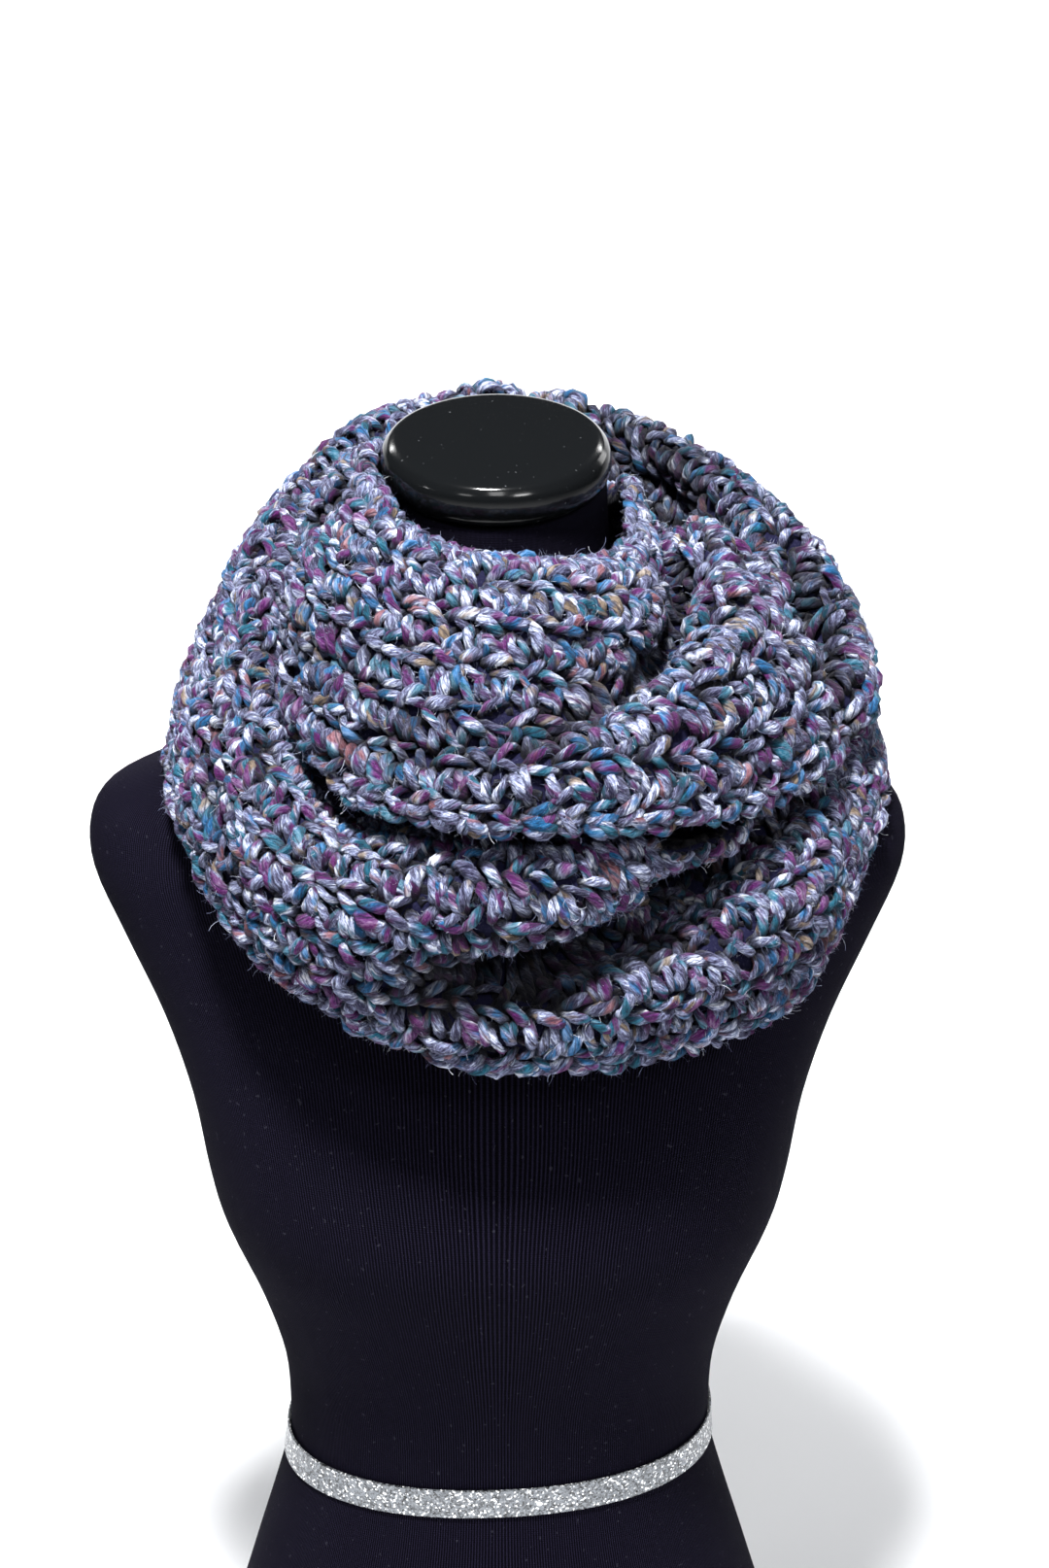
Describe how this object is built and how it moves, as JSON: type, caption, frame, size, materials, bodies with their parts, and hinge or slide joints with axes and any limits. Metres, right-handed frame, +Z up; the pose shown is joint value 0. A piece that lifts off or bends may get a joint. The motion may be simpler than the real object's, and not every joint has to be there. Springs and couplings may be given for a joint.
{
  "type": "infinity scarf on a dress form",
  "caption": "Chunky crocheted infinity scarf in grey tweed yarn, wound in two turns round the neck of a black limbless dress form.",
  "frame": {"origin": "middle of the form's flat hip base, on the ground", "axes": "+Z up the form, -Y towards its front, +X to the viewer's right of it"},
  "size_m": [0.3792, 0.2922, 0.721],
  "materials": {
    "form_torso": "black ribbed jersey, matt",
    "form_neck_cap": "gloss black",
    "waist_tape": "silver glitter ribbon",
    "first_turn_nape": "chunky crocheted tweed wool, heathered grey with coloured flecks",
    "first_turn_front": "chunky crocheted tweed wool, heathered grey with coloured flecks",
    "first_turn_right": "chunky crocheted tweed wool, heathered grey with coloured flecks",
    "second_turn_nape": "chunky crocheted tweed wool, heathered grey with coloured flecks",
    "second_turn_left": "chunky crocheted tweed wool, heathered grey with coloured flecks",
    "second_turn_front": "chunky crocheted tweed wool, heathered grey with coloured flecks",
    "second_turn_right": "chunky crocheted tweed wool, heathered grey with coloured flecks"
  },
  "bodies": {
    "root": {"form_torso": "form_torso", "form_neck_cap": "form_neck_cap", "waist_tape": "waist_tape", "first_turn_nape": "first_turn_nape", "first_turn_front": "first_turn_front", "first_turn_right": "first_turn_right", "second_turn_nape": "second_turn_nape", "second_turn_left": "second_turn_left", "second_turn_front": "second_turn_front", "second_turn_right": "second_turn_right"}
  },
  "joints": []
}
